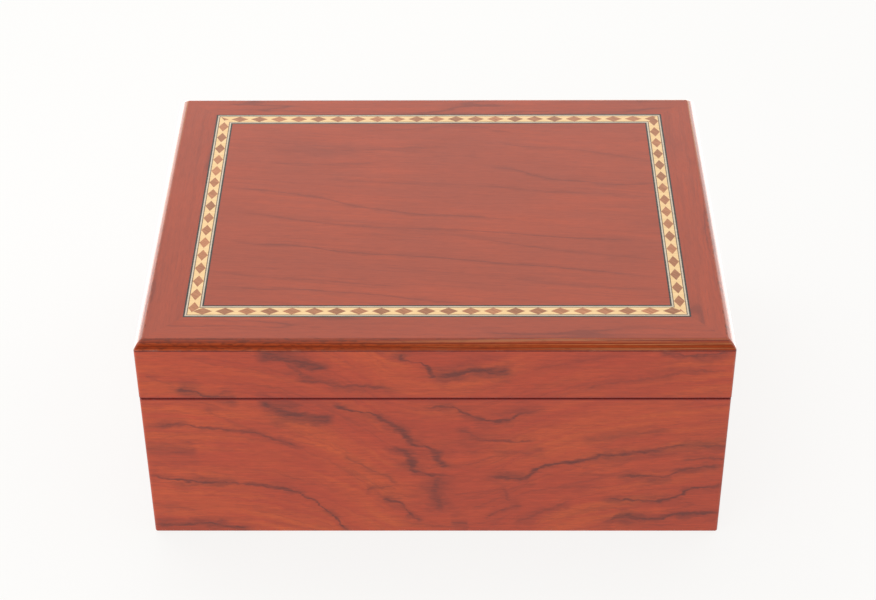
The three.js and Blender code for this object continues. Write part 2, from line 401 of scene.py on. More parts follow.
def wire_wear(w, inputs):
    """How worn the lacquer is: patchily along the outer edges of the closed box."""
    x, y, z = w.axes(inputs["Place"])
    near_side, near_front = (
        w.ramp(w.calc("ABSOLUTE", out), half - WEAR_WIDTH, half - WORN_THROUGH)
        for out, half in ((x, LID_HALF[0]), (y, LID_HALF[1]))
    )
    near_foot = w.ramp(z, BASE_FOOT + 0.3, BASE_FOOT + 2.0, 1.0, 0.0)
    off_bevel = w.apart(z, LID_TOP - BEVEL)
    near_level = w.larger(near_foot, w.ramp(off_bevel, 0.2, 1.0, 0.4, 0.0))
    upright = w.times(near_side, near_front)
    round_it = w.times(w.larger(near_side, near_front), near_level)
    rubbed = w.ramp(w.noise(inputs["Place"], scale=0.11, detail=5.0, roughness=0.7), 0.48, 0.66)
    return {"Wear": w.times(w.larger(upright, round_it), rubbed)}


WEAR = group("edge_wear", {"Place": "vector"}, {"Wear": "value"}, wire_wear)


def wire_lacquer(w, inputs):
    """The faint waviness of a polished lacquer film, and where handling has dulled it a little."""
    place = inputs["Place"]
    broad = w.noise(place, scale=0.055, detail=1.0)
    fine = w.noise(place, scale=0.35)
    height = w.plus(broad, w.scaled(fine, 0.08))
    smudge = w.ramp(w.noise(place, scale=0.03, detail=4.0, roughness=0.6), 0.5, 0.75)
    rough = w.scaled(smudge, 0.05, 0.06)
    return {"Height": height, "Roughness": rough}


LACQUER = group(
    "lacquer_film", {"Place": "vector"}, {"Height": "value", "Roughness": "value"}, wire_lacquer
)


def wire_fibres(w, inputs):
    """Long fine fibres along X of the sheet, with short dark pores among them."""
    sheet = inputs["Sheet"]
    fine = w.stretched(sheet, 7, 0.75, 4, detail=3.0)
    coarse = w.stretched(sheet, 40, 1.6, 6, shift=3.1)
    pores = w.stretched(sheet, 4.5, 0.32, 3, detail=1.0, shift=7.7)
    fibre = w.plus(w.scaled(fine, 0.6), w.scaled(coarse, 0.4))
    return {"Fibre": fibre, "Pores": w.ramp(pores, 0.57, 0.72)}


FIBRES = group(
    "wood_fibres", {"Sheet": "vector"}, {"Fibre": "value", "Pores": "value"}, wire_fibres
)


def wire_torn(w, inputs):
    """Shifts a sheet's points along the fibres by a different amount in each fine band, and a
    little every way, so that lines drawn on it turn out like mineral streaks in the wood."""
    sheet = inputs["Sheet"]
    x, y, z = w.axes(sheet)
    bands = w.minus(w.stretched(sheet, 22, 0.8, 9, detail=3.0, shift=1.7), 0.5)
    sway = w.minus(w.stretched(sheet, 14, 9, 9, shift=5.3), 0.5)
    heave = w.minus(w.stretched(sheet, 15, 6, 9, shift=9.1), 0.5)
    ripple = w.minus(w.stretched(sheet, 3.2, 2.4, 9, detail=1.0, shift=2.2), 0.5)
    along = w.plus(w.scaled(bands, 3.2), w.scaled(sway, 7.0))
    torn_x = w.plus(x, w.times(along, inputs["Amount"]))
    rise = w.plus(w.scaled(heave, 4.0), w.scaled(ripple, 2.2))
    torn_y = w.plus(y, w.times(rise, inputs["Amount"]))
    return {"Torn": w.vector(torn_x, torn_y, z)}


TORN = group(
    "torn_streaks", {"Sheet": "vector", "Amount": "value"}, {"Torn": "vector"}, wire_torn
)


def drawn_curve(w, points):
    """A Float Curve node through points whose both coordinates run from 0 to 1."""
    made = w.node("ShaderNodeFloatCurve")
    curve = made.mapping.curves[0]
    first, last = curve.points[0], curve.points[-1]
    first.location, last.location = points[0], points[-1]
    for point in points[1:-1]:
        curve.points.new(*point)
    made.mapping.update()
    return made


# The part of a streak's length over which it fades out, at each end
TIP_SHARE = 0.16


def streak(w, along, across, points, width, smoke, depth):
    """How dark a drawn streak is at a point: points are (along, across), width its half width,
    smoke how much of the haze beside it shows, and depth how dark its middle is."""
    start, end = points[0][0], points[-1][0]
    low = min(point[1] for point in points)
    span = max(max(point[1] for point in points) - low, 1.0)
    curve = drawn_curve(w, [((a - start) / (end - start), (b - low) / span) for a, b in points])
    w.feed(curve.inputs["Value"], w.ramp(along, start, end, kind="LINEAR"))
    middle = w.scaled(curve.outputs[0], span, low)
    off = w.calc("DIVIDE", w.apart(across, middle), width)
    core = w.ramp(off, 0.1, 1.7, 1.0, 0.0)
    halo = w.times(w.ramp(off, 0.3, 5.5, 0.5, 0.0), smoke)
    tip = (end - start) * TIP_SHARE
    fade = w.times(w.ramp(along, start, start + tip), w.ramp(along, end, end - tip))
    dark = w.larger(core, halo)
    return w.times(w.times(dark, fade), depth)


# Streaks on the front, each (half width, depth, points), with points as (x, z). They are drawn
# once over the closed lid and base, because both are cut from one sheet.
FRONT_STREAKS = (
    (2.1, 0.95, ((-79, 106.5), (-67, 104), (-63.5, 102.4), (-53.5, 99.3), (-44, 98.6))),
    (0.9, 0.7, ((-64, 90.5), (-52, 89.9), (-40, 88.4), (-32, 88.3), (-24, 87), (-13, 85))),
    (1.3, 0.6, ((-68, 102.5), (-61, 97), (-56, 93), (-47, 90.5), (-40, 89))),
    (1.9, 1.0, ((-4, 96.5), (2, 94), (9.5, 95.5), (19, 96.9), (29, 95.8), (37, 94.4))),
    (1.3, 0.9, ((-116, 86), (-105, 85.2), (-102, 83), (-92, 81.7), (-86, 81))),
    (0.9, 0.8, ((95, 105), (102, 106), (110.5, 104.6), (124, 106.3), (129, 106.5))),
    (0.8, 0.45, ((59, 82), (66, 86.6), (77, 89.9), (94, 92.4), (110.5, 95.7), (128, 96.7))),
    (0.8, 0.35, ((42, 96.4), (52.5, 99.9), (69, 103.2), (82, 106.5))),
    (0.8, 0.35, ((-127, 94), (-118.5, 90), (-113, 86.4))),
    (2.2, 1.0, ((-80, 79.8), (-72, 75.8), (-65, 72.5), (-58.7, 70.9), (-52, 70), (-43, 69.2))),
    (1.1, 0.8, ((-8, 75.2), (6, 75.3), (14.3, 72.5), (24.2, 68), (31, 68), (37.5, 71.6), (44, 73.2),
                (51, 76))),
    (0.9, 0.6, ((6, 64), (14.3, 61.7), (17.6, 58.6), (29.2, 56.2), (47, 56.8))),
    (1.2, 0.4, ((24, 50.4), (36, 49.3), (51, 52))),
    (1.2, 0.95, ((18, 30), (27.5, 34.4), (34, 34.4), (38, 34), (44, 37.7), (49, 41), (57.5, 42.7),
                 (67.3, 44.3), (75.6, 47.6), (85.6, 48.5), (95.5, 50.1), (107, 52.1))),
    (1.2, 0.85, ((79, 48), (95.5, 50.1), (107, 52.1), (117, 53), (140, 51.6))),
    (1.0, 0.8, ((80, 35.4), (90.6, 34.9), (101, 34), (108.8, 37.7), (118.8, 40.2), (134, 41))),
    (0.8, 0.6, ((108, 43.4), (118, 45.3), (134, 45.7))),
    (1.0, 0.9, ((72, 18.4), (80.6, 20.6), (90.6, 20.6), (100.5, 19.7), (108.8, 22), (118.8, 27.6),
                (134, 31))),
    (1.4, 0.95, ((74, 0), (79, 6.6), (87, 10.2), (94, 8.5), (102, 8.7), (109, 11), (134, 12.4))),
    (0.9, 0.5, ((34, 4.5), (44, 10.3), (52.5, 14.5), (64, 20))),
    (0.9, 0.55, ((22, 7.5), (29, 13.7), (39, 17))),
    (0.8, 0.75, ((-133, 62.5), (-121.7, 65), (-113.4, 65.8), (-103.5, 64.2), (-85, 61.7), (-77, 60),
                 (-72, 57), (-63.7, 53.5), (-55, 48.6))),
    (0.9, 0.9, ((-134, 37), (-128, 36), (-120, 32.7), (-108.4, 31.9), (-96.8, 31), (-85, 29.9),
                (-73.6, 28.6), (-64, 26.4), (-58.7, 22), (-52, 15.3))),
    (0.9, 0.9, ((-80, 29.3), (-73.6, 28.6), (-64, 26.5), (-58.7, 22), (-52, 15.3), (-46.5, 9),
                (-36, -5))),
    (1.0, 0.95, ((-134, 6), (-118.4, 4.6), (-105, 5.5), (-95, 3.8), (-82, 0))),
    (1.2, 0.85, ((-26, 21.4), (-20, 20), (-15.6, 18), (-13.5, 12.5), (-9, 9), (-5, 6.8))),
    (0.9, 0.6, ((-33, 24), (-24, 28.4), (-17.5, 26.5))),
    (1.3, 0.6, ((6, 5.2), (11, 5.8), (16, 5))),
    (0.9, 0.5, ((-43, 49), (-30.5, 40), (-22, 33.6), (-15, 29.6))),
    (1.3, 0.4, ((62, 54.6), (77, 58.4), (90.6, 60), (107, 63.8))),
    (3.0, 0.45, ((-132, 52), (-120, 51), (-105, 50))),
)

# Those on the front that fall steeply, as (z, x)
STEEP_STREAKS = (
    (1.5, 0.9, ((91, 2), (95, -2.5), (99.5, -4), (101.5, -12), (104.5, -14.5), (108, -8))),
    (2.4, 0.95, ((48, 1), (52, -1.5), (54.5, -9), (58.5, -13.5), (63, -15.5), (67, -21.5), (71.5, -27),
                 (74.5, -39), (80, -46))),
    (2.4, 0.85, ((38, 5), (42.5, 3), (46, 1), (50, 0.5), (53, -3))),
    (2.0, 0.9, ((33, 1.5), (36, -1.5), (38.5, -9.5), (42.7, -10.6), (47.6, -12), (51, -15.5),
                (54.5, -21))),
    (1.9, 0.75, ((12, 1), (17, 0.5), (25, -0.6), (31.9, 1), (37, 3))),
    (1.1, 0.5, ((19, 34.5), (23, 33), (28.5, 30.5))),
)

# Streaks on the lid's top, with points as (x, y)
TOP_STREAKS = (
    (0.8, 0.75, ((-108, 20), (-98, 19), (-80, 15.9), (-63.7, 12.6), (-52, 9), (-43.8, 5.6), (-27, 0.4),
                 (-4, -4), (19, -5.6), (42, -10))),
    (0.8, 0.7, ((-106, 0), (-85, -3.1), (-67, -7.3), (-47, -11.4), (-27, -13.9), (2.7, -15.6), (29, -18),
                (52, -21.4), (85.6, -23.9), (108, -24.5))),
    (0.8, 0.8, ((-106, -21), (-98.5, -23), (-82, -27.2), (-67, -28), (-47, -32.2), (-30.5, -34.7),
                (-5.6, -37), (19, -40.5), (44, -43.8), (77, -48.8), (108, -55))),
    (0.7, 0.55, ((-106, -45), (-85, -51.2), (-63.7, -53.7), (-37, -57), (-8, -61))),
    (0.9, 0.7, ((-104, -56), (-80, -61.2), (-60, -61.7), (-44, -63.3), (-27, -65.3), (-4, -69.5),
                (22, -73))),
    (2.6, 0.5, ((-88, 53), (-50, 50.7), (-24, 52), (6, 53.4))),
    (1.0, 0.5, ((-84, 42), (-52, 38.8), (-26, 40.4))),
    (1.0, 0.7, ((20, 37), (36, 34.2), (46, 29.2), (57.4, 25), (69, 23.9), (85.6, 20.9), (108, 22.6))),
    (0.9, 0.5, ((12, 21.6), (32.5, 18.4), (52.4, 15.1), (77, 13.4), (96, 12.2))),
    (1.1, 0.5, ((26, 60), (45.8, 53.2), (69, 50.7), (85.6, 46.6), (108, 39))),
    (0.9, 0.5, ((6, -20.4), (26, -24.7), (42.5, -29.2), (65.7, -34.2), (85.6, -37), (108, -41))),
    (1.0, 0.45, ((-42, 68.6), (-14, 69.3), (11, 73), (29, 68.4), (46, 64.6))),
    (1.0, 0.4, ((-4, 43), (7, 45.6), (22, 43))),
    (0.8, 0.4, ((-60, 27), (-30, 23.4), (0, 21.6), (28, 20.4))),
    (0.8, 0.45, ((28, -52), (60, -58), (90, -61.5), (108, -62.5))),
    (0.8, 0.4, ((-30, -44), (0, -48.5), (30, -52), (58, -53.6))),
)


def joined_streaks(w, torn, across, down=(), narrowing=1.0):
    """The darkest of several streaks at each point, thicker and thinner along their length."""
    x, y, _ = w.axes(torn)
    swell = w.scaled(w.stretched(torn, 9, 6, 9, shift=4.4), 2.4, -0.1)
    broken = w.ramp(w.stretched(torn, 7, 0.8, 9, detail=3.0, shift=6.6), 0.35, 0.62, 0.74, 1.08)
    smoke = w.ramp(w.stretched(torn, 17, 4.5, 9, detail=3.0, shift=8.1), 0.38, 0.62, 0.2, 1.4)
    dark = 0.0
    for drawings, along, aside in ((across, x, y), (down, y, x)):
        for width, depth, points in drawings:
            half_width = w.scaled(swell, narrowing * width)
            dark = w.larger(dark, streak(w, along, aside, points, half_width, smoke, depth))
    return w.times(dark, broken)


# Height of the grain lines over the front, as (x, rise): they sag to the middle
GRAIN_SAG = ((-135, 14), (-90, 11), (-60, 3), (-32, -13), (-6, -26), (14, -25), (42, -13),
             (78, -1), (135, 8))


def flow_over_sag(w, sheet):
    """A height that is level along the grain lines of the front's figure."""
    x, y, _ = w.axes(sheet)
    start, end = GRAIN_SAG[0][0], GRAIN_SAG[-1][0]
    low = min(rise for _, rise in GRAIN_SAG)
    span = max(rise for _, rise in GRAIN_SAG) - low
    curve = drawn_curve(w, [((a - start) / (end - start), (b - low) / span) for a, b in GRAIN_SAG])
    w.feed(curve.inputs["Value"], w.ramp(x, start, end, kind="LINEAR"))
    return w.minus(y, w.scaled(curve.outputs[0], span, low))


def wire_wild_figure(w, inputs):
    """Figure for sheets that aren't drawn: streaks where a stretched field crosses its middle."""
    sheet = inputs["Sheet"]
    torn = w.use(TORN, Sheet=sheet, Amount=inputs["Unrest"])["Torn"]
    x, y, z = w.axes(torn)
    lift = w.scaled(w.stretched(torn, 150, 70, 30, detail=1.0), inputs["Sweep"])
    flow = w.plus(y, lift)
    field = w.stretched(w.vector(x, flow, z), 120, 13, 30, shift=6.2)
    off = w.apart(field, 0.5)
    lines = w.ramp(off, 0.004, 0.028, 1.0, 0.0)
    halo = w.ramp(off, 0.01, 0.07, 0.35, 0.0)
    there = w.ramp(w.stretched(torn, 55, 14, 30, detail=1.0, shift=8.8), 0.42, 0.62)
    dark = w.times(w.larger(lines, halo), w.scaled(there, 0.85, 0.1))
    return {"Streaks": dark, "Flow": flow}


FIGURE_OUT = {"Streaks": "value", "Flow": "value"}
WILD_FIGURE = group(
    "wild_figure", {"Sheet": "vector", "Unrest": "value", "Sweep": "value"}, FIGURE_OUT,
    wire_wild_figure,
)


# How deep in the wood the front's faint figure is cut, and how much of it shows
FAINT_SHEET, FAINT_SHARE = 60.0, 0.3


def wire_front_figure(w, inputs):
    """The front's drawn streaks over a fainter figure that follows the same sag."""
    sheet = inputs["Sheet"]
    torn = w.use(TORN, Sheet=sheet, Amount=1.0)["Torn"]
    sagged = w.vector(w.axes(sheet)[0], flow_over_sag(w, sheet), FAINT_SHEET)
    faint = w.use(WILD_FIGURE, Sheet=sagged, Unrest=1.0, Sweep=10.0)["Streaks"]
    drawn = joined_streaks(w, torn, FRONT_STREAKS, STEEP_STREAKS)
    return {
        "Streaks": w.larger(drawn, w.scaled(faint, FAINT_SHARE)),
        "Flow": flow_over_sag(w, torn),
    }


# The top's figure: how torn it is beside the front's, what narrows its streaks, its grain's slope
TOP_TEAR, TOP_NARROWING, TOP_SLOPE = 0.3, 0.5, 0.13


def wire_top_figure(w, inputs):
    """The top's drawn streaks, which run nearly straight."""
    torn = w.use(TORN, Sheet=inputs["Sheet"], Amount=TOP_TEAR)["Torn"]
    x, y, _ = w.axes(torn)
    return {
        "Streaks": joined_streaks(w, torn, TOP_STREAKS, narrowing=TOP_NARROWING),
        "Flow": w.plus(y, w.scaled(x, TOP_SLOPE)),
    }


FRONT_FIGURE = group("front_figure", {"Sheet": "vector"}, FIGURE_OUT, wire_front_figure)
TOP_FIGURE = group("top_figure", {"Sheet": "vector"}, FIGURE_OUT, wire_top_figure)


def wire_figured_wood(w, inputs):
    """Colours the reddish veneer from its figure: light and dark bands along the grain, streaks,
    fibres and pores."""
    sheet, flow, streaks = inputs["Sheet"], inputs["Flow"], inputs["Streaks"]
    x, _, z = w.axes(sheet)
    level = w.vector(x, flow, z)
    bands = w.stretched(level, 70, 4, 30, detail=4.0, shift=2.9)
    patches = w.stretched(level, 60, 28, 40, detail=3.0, shift=5.9)
    grain_lines = w.ramp(w.stretched(level, 55, 1.1, 9, shift=4.9), 0.54, 0.70)
    fibres = w.use(FIBRES, Sheet=sheet)
    light = w.mix(w.ramp(bands, 0.15, 0.85), inputs["Dark ground"], inputs["Light ground"])
    light = w.mix(w.ramp(patches, 0.36, 0.64, 0.0, 0.85), light, inputs["Dark ground"])
    light = w.mix(w.scaled(grain_lines, 0.17), light, inputs["Streak colour"])
    smoky = w.mix(w.times(streaks, inputs["Streak share"]), light, inputs["Streak colour"])
    shade = w.ramp(fibres["Fibre"], 0.3, 0.7, inputs["Fibre depth"], 1.0, kind="LINEAR")
    toned = w.mix(1.0, smoky, w.vector(shade, shade, shade), kind="MULTIPLY")
    return {"Colour": w.mix(w.scaled(fibres["Pores"], 0.28), toned, inputs["Streak colour"])}


FIGURED_WOOD = group(
    "figured_wood",
    {
        "Sheet": "vector", "Flow": "value", "Streaks": "value", "Streak share": "value",
        "Fibre depth": "value", "Light ground": "colour", "Dark ground": "colour",
        "Streak colour": "colour",
    },
    {"Colour": "colour"},
    wire_figured_wood,
)

# ------------------------ finishes

# Colours as linear red, green, blue and opacity. Pairs are (dark, light).
SCUFFED_LACQUER = (0.60, 0.26, 0.15, 1)
# Painted shade: the dark red of the gap at the seam between lid and base
SEAM_GAP_SHADE = (0.17, 0.006, 0.003, 1)
# Partly a glue joint and partly painted shade of the groove at the edging's foot
GLUE_LINE_AND_GROOVE_SHADE = (0.12, 0.006, 0.002, 1)
# Painted highlight low on the bevel
EDGING_HIGHLIGHT = (0.42, 0.060, 0.008, 1)
EDGING_BURR = (0.13, 0.020, 0.006, 1)
EDGING_PALE = (0.42, 0.15, 0.055, 1)
EDGING_PORES = (0.10, 0.014, 0.004, 1)
LONG_EDGING = ((0.19, 0.019, 0.0035, 1), (0.35, 0.052, 0.009, 1))
SHORT_EDGING = ((0.26, 0.046, 0.016, 1), (0.35, 0.064, 0.023, 1))
CREAM_WOOD = ((0.70, 0.46, 0.21, 1), (0.80, 0.56, 0.29, 1))
BROWN_WOOD = ((0.31, 0.12, 0.050, 1), (0.44, 0.185, 0.085, 1))
WHITE_WOOD = ((0.46, 0.39, 0.29, 1), (0.58, 0.50, 0.38, 1))
BLACK_WOOD = ((0.014, 0.011, 0.010, 1), (0.045, 0.037, 0.031, 1))
DARK_WOOD = ((0.07, 0.03, 0.015, 1), (0.12, 0.055, 0.026, 1))
BARE_BOARD = ((0.36, 0.23, 0.12, 1), (0.52, 0.36, 0.21, 1))
STAINED_RIM = ((0.24, 0.030, 0.009, 1), (0.34, 0.050, 0.014, 1))
CEDAR = ((0.46, 0.235, 0.115, 1), (0.60, 0.34, 0.18, 1))
CEDAR_PORES = (0.30, 0.13, 0.06, 1)
BRASS, TARNISH = (0.74, 0.51, 0.20, 1), (0.46, 0.30, 0.12, 1)
BAIZE = ((0.010, 0.030, 0.017, 1), (0.030, 0.075, 0.045, 1))
PRESSED_BAIZE = (0.020, 0.040, 0.028, 1)

# The two veneers: their ground and their streaks
SIDE_COLOURS = {
    "Light_ground": (0.56, 0.082, 0.014, 1),
    "Dark_ground": (0.43, 0.043, 0.013, 1),
    "Streak_colour": (0.155, 0.020, 0.011, 1),
}
TOP_COLOURS = {
    "Light_ground": (0.40, 0.058, 0.018, 1),
    "Dark_ground": (0.33, 0.052, 0.020, 1),
    "Streak_colour": (0.15, 0.026, 0.015, 1),
}


# A worn edge's share of scuffed colour, and what it adds to the roughness
WORN_SHARE, WORN_ROUGHNESS = 0.22, 0.25


def lacquered(w, colour, place):
    """What the nodes of a lacquered wood drive on its shader."""
    film = w.use(LACQUER, Place=place)
    wear = w.use(WEAR, Place=place)["Wear"]
    return {
        "Base Color": w.mix(w.scaled(wear, WORN_SHARE), colour, SCUFFED_LACQUER),
        "Roughness": w.plus(film["Roughness"], w.scaled(wear, WORN_ROUGHNESS)),
        "Normal": raised(w, film["Height"], 0.25, 0.0004),
    }


# Painted shade of the gap at the seam, a dark red band: full this near its level, gone this far off, and
# its share where full
SEAM_SHADE_FULL, SEAM_SHADE_GONE, SEAM_SHADE_SHARE = 0.5, 1.25, 0.9
# Brightness of the darkest fibres beside the lightest ones
SIDE_FIBRES, TOP_FIBRES = 0.7, 0.8


def veneer(name, plane, figure, colours, streak_share, fibres=SIDE_FIBRES, cut=0.0, **figure_values):
    """A figured veneer under lacquer. plane names the axes along and across its grain, and cut is
    how deep in the wood its sheet was cut."""

    def wire(w):
        place = w.place_mm()
        by_axis = dict(zip("xyz", w.axes(place)))
        sheet = w.vector(by_axis[plane[0]], by_axis[plane[1]], cut)
        drawn = w.use(figure, Sheet=sheet, **figure_values)
        colour = w.use(
            FIGURED_WOOD, Sheet=sheet, Flow=drawn["Flow"], Streaks=drawn["Streaks"],
            Streak_share=streak_share, Fibre_depth=fibres, **colours,
        )["Colour"]
        if plane[1] == "z":
            # On upright sheets, painted shade of the seam's gap: a dark red band along the seam
            off_seam = w.apart(by_axis["z"], SEAM)
            stained = w.ramp(off_seam, SEAM_SHADE_FULL, SEAM_SHADE_GONE, SEAM_SHADE_SHARE, 0.0)
            colour = w.mix(stained, colour, SEAM_GAP_SHADE)
        return lacquered(w, colour, place)

    return material(name, wire)


# How high above its lower joint the edging has a thin painted highlight stripe, low on the bevel, where
# the crowned bevel catches light
HIGHLIGHT_HEIGHT = 0.95


def edging_wood(name, along, shades):
    """Solid edging, striped along its length: mottled towards its low end and paler towards its high
    one, with a dark line against the veneer below that is partly the glue joint and partly painted shade
    of the small groove there."""

    def wire(w):
        place = w.place_mm()
        by_axis = dict(zip("xyz", w.axes(place)))
        other = "y" if along == "x" else "x"
        sheet = w.vector(by_axis[along], w.plus(by_axis["z"], by_axis[other]), by_axis["z"])
        stripes = w.stretched(sheet, 150, 0.8, 9, detail=3.0)
        pale_stripes = w.stretched(sheet, 110, 0.7, 9, shift=1.4)
        burr = w.stretched(sheet, 3.5, 1.1, 3, detail=4.0, shift=3.3)
        fibres = w.use(FIBRES, Sheet=sheet)
        straight = w.ramp(by_axis[along], -75, 75)
        colour = w.mix(w.ramp(stripes, 0.35, 0.65), *shades)
        curly = w.scaled(straight, -0.75, 1.0)
        mottle = w.times(w.ramp(burr, 0.45, 0.65, 0.0, 0.75), curly)
        colour = w.mix(mottle, colour, EDGING_BURR)
        pale = w.times(w.ramp(pale_stripes, 0.52, 0.62, 0.0, 0.8), straight)
        colour = w.mix(pale, colour, EDGING_PALE)
        colour = w.mix(w.scaled(fibres["Pores"], 0.4), colour, EDGING_PORES)
        height = w.minus(by_axis["z"], EDGING_LOW[2])
        off_highlight = w.apart(height, HIGHLIGHT_HEIGHT)
        # Painted highlight: a thin orange stripe low on the bevel, where its crown catches light
        colour = w.mix(w.ramp(off_highlight, 0.05, 0.3, 0.35, 0.0), colour, EDGING_HIGHLIGHT)
        # The dark line at the edging's foot: the glue joint, with painted shade of the small groove
        # there
        line = w.ramp(height, 0.35, 0.7, 1.0, 0.0)
        return lacquered(w, w.mix(line, colour, GLUE_LINE_AND_GROOVE_SHADE), place)

    return material(name, wire)


def inlay_wood(name, shades, grain=0, variety=0.0):
    """A fine plain wood of the banding. grain is its direction in degrees from X, and variety is
    how far a piece's shade may be from the wood's own."""

    def wire(w):
        place = w.place_mm()
        turned = w.node("ShaderNodeVectorRotate", place, rotation_type="Z_AXIS")
        w.feed(turned.inputs["Angle"], math.radians(grain))
        lines = w.stretched(turned.outputs[0], 6, 0.28, 5)
        toned = w.mix(w.ramp(lines, 0.35, 0.68), *shades)
        tone = w.node("ShaderNodeAttribute", attribute_name="tone").outputs["Fac"]
        shade = w.scaled(tone, 2 * variety, 1.0 - variety)
        return lacquered(w, w.mix(1.0, toned, w.vector(shade, shade, shade), kind="MULTIPLY"), place)

    return material(name, wire)


def wire_core(w):
    """Fibreboard, stained red and lacquered where it is the rim of the lid or the base."""
    place = w.place_mm()
    level = w.axes(place)[2]
    grit = w.noise(place, scale=2.4, detail=4.0, roughness=0.7)
    bare = w.mix(grit, *BARE_BOARD)
    off_rim = w.apart(level, SEAM)
    rim = w.ramp(off_rim, 0.45, 0.55, 1.0, 0.0)
    fibres = w.use(FIBRES, Sheet=place)
    red = w.mix(w.ramp(fibres["Fibre"], 0.3, 0.7), *STAINED_RIM)
    return {
        "Base Color": w.mix(rim, bare, red),
        "Roughness": w.scaled(rim, -0.6, 0.78),
        "Normal": raised(w, w.times(grit, w.scaled(rim, -0.8, 1.0)), 0.3, 0.0003),
    }


def cedar(name, along, across):
    """Planed lining wood with its grain along one axis."""

    def wire(w):
        place = w.place_mm()
        by_axis = dict(zip("xyz", w.axes(place)))
        third = ({"x", "y", "z"} - {along, across}).pop()
        sheet = w.vector(by_axis[along], by_axis[across], by_axis[third])
        wander = w.scaled(w.stretched(sheet, 130, 45, 40, detail=1.0), 26)
        bent = w.vector(by_axis[along], w.plus(by_axis[across], wander), by_axis[third])
        rings = w.stretched(bent, 260, 2.6, 60)
        fibres = w.use(FIBRES, Sheet=sheet)
        colour = w.mix(w.ramp(rings, 0.36, 0.66), *CEDAR)
        colour = w.mix(w.scaled(fibres["Pores"], 0.5), colour, CEDAR_PORES)
        return {
            "Base Color": colour,
            "Roughness": w.ramp(fibres["Fibre"], 0.3, 0.7, 0.52, 0.68),
            "Normal": raised(w, fibres["Fibre"], 0.25, 0.0003),
        }

    return material(name, wire)


def wire_brass(w):
    """Polished brass with a fine brushed grain and a little tarnish."""
    place = w.place_mm()
    brushed = w.stretched(place, 9, 0.12, 0.12)
    tarnish = w.ramp(w.noise(place, scale=0.35, detail=4.0, roughness=0.65), 0.45, 0.75)
    return {
        "Base Color": w.mix(w.scaled(tarnish, 0.5), BRASS, TARNISH),
        "Roughness": w.plus(w.scaled(tarnish, 0.16, 0.17), w.scaled(brushed, 0.08)),
        "Normal": raised(w, brushed, 0.12, 0.0001),
    }


def wire_felt(w):
    """Wool baize: matted fibres that lie every way, darker where they are pressed."""
    place = w.place_mm()
    nap = w.noise(place, scale=2.2, detail=6.0, roughness=0.75, distortion=1.5)
    worn = w.noise(place, scale=0.05, detail=3.0)
    ground = w.mix(w.ramp(nap, 0.35, 0.65), *BAIZE)
    return {
        "Base Color": w.mix(w.ramp(worn, 0.4, 0.7, 0.0, 0.35), ground, PRESSED_BAIZE),
        "Normal": raised(w, nap, 0.8, 0.0008),
    }


# Veneers with a wild figure: name, axes along and across the grain, and depth of the cut
FREE_SIDES = (("back", "xz", 400.0), ("left", "yz", 150.0), ("right", "yz", 270.0))
FREE_BORDERS = (("long", "xy", 520.0), ("short", "yx", 640.0))

FINISH = {
    "front": veneer("front_veneer", "xz", FRONT_FIGURE, SIDE_COLOURS, 1.0),
    "field": veneer("field_veneer", "xy", TOP_FIGURE, TOP_COLOURS, 0.75, fibres=TOP_FIBRES),
    "edging_x": edging_wood("long_edging_wood", "x", LONG_EDGING),
    "edging_y": edging_wood("short_edging_wood", "y", SHORT_EDGING),
    "cream": inlay_wood("cream_inlay_wood", CREAM_WOOD),
    "diamond": inlay_wood("brown_inlay_wood", BROWN_WOOD, grain=38, variety=0.20),
    "white_line": inlay_wood("white_inlay_wood", WHITE_WOOD),
    "black_line": inlay_wood("black_inlay_wood", BLACK_WOOD),
    "dark_line": inlay_wood("dark_inlay_wood", DARK_WOOD),
    "core": material("core_board", wire_core),
    "cedar_level": cedar("level_lining_wood", "x", "y"),
    "cedar_x": cedar("long_lining_wood", "x", "z"),
    "cedar_y": cedar("short_lining_wood", "y", "z"),
    "brass": material("hinge_brass", wire_brass, Metallic=1.0),
    "felt": material("green_baize", wire_felt, Roughness=1.0, Sheen_Weight=0.4, Sheen_Roughness=0.6),
}
for free_side, axes_used, cut in FREE_SIDES:
    FINISH[free_side] = veneer(
        free_side + "_veneer", axes_used, WILD_FIGURE, SIDE_COLOURS, 0.85, cut=cut,
        Unrest=1.0, Sweep=60.0,
    )
for border, axes_used, cut in FREE_BORDERS:
    FINISH["crossband_" + axes_used[0]] = veneer(
        border + "_crossband_veneer", axes_used, WILD_FIGURE, TOP_COLOURS, 0.6,
        fibres=TOP_FIBRES, cut=cut, Unrest=0.6, Sweep=14.0,
    )


# ------------------------ the outside of the box


def veneer_corner(inward):
    return max(CORNER_RADIUS - inward, HIDDEN_RADIUS)


def edging_corner(_):
    """The bevel's corner is as round at its top as at its foot."""
    return CORNER_RADIUS


def make_skin(node, ending, side, half, profile, corner_radius, finish):
    """One mitred side of the outside, in place of a CAD node, with its arcs shaded smooth."""
    body = node.split("_")[0]
    shape = frame_side(side, half, profile, corner_radius)
    piece = new_piece(node + ending, shape, body, [node], FINISH[finish])
    shaded_smooth(piece, SHARP_FROM)


def make_base_veneer(side):
    inside = VENEER + FOOT_RADIUS
    arcs = filleted(
        [(0, BASE_FOOT), (0, RIM), (inside, RIM), (inside, BASE_FOOT)],
        [FOOT_RADIUS, SEAM_ARRIS, 0, 0],
    )
    profile = [p for p in arcs if p[0] < VENEER]
    profile += [(VENEER, RIM), (VENEER, BASE_FOOT + FOOT_LIFT)]
    make_skin(f"base_{side}_veneer", "_skin", side, BASE_HALF, profile, veneer_corner,
              side)


def make_lid_veneer(side):
    profile = filleted(
        [(0, LID_FOOT), (0, JOINT), (VENEER, JOINT), (VENEER, LID_FOOT)],
        [SEAM_ARRIS, JOINT_ARRIS, 0, 0],
    )
    make_skin(f"lid_{side}_veneer", "_skin", side, LID_HALF, profile, veneer_corner,
              side)


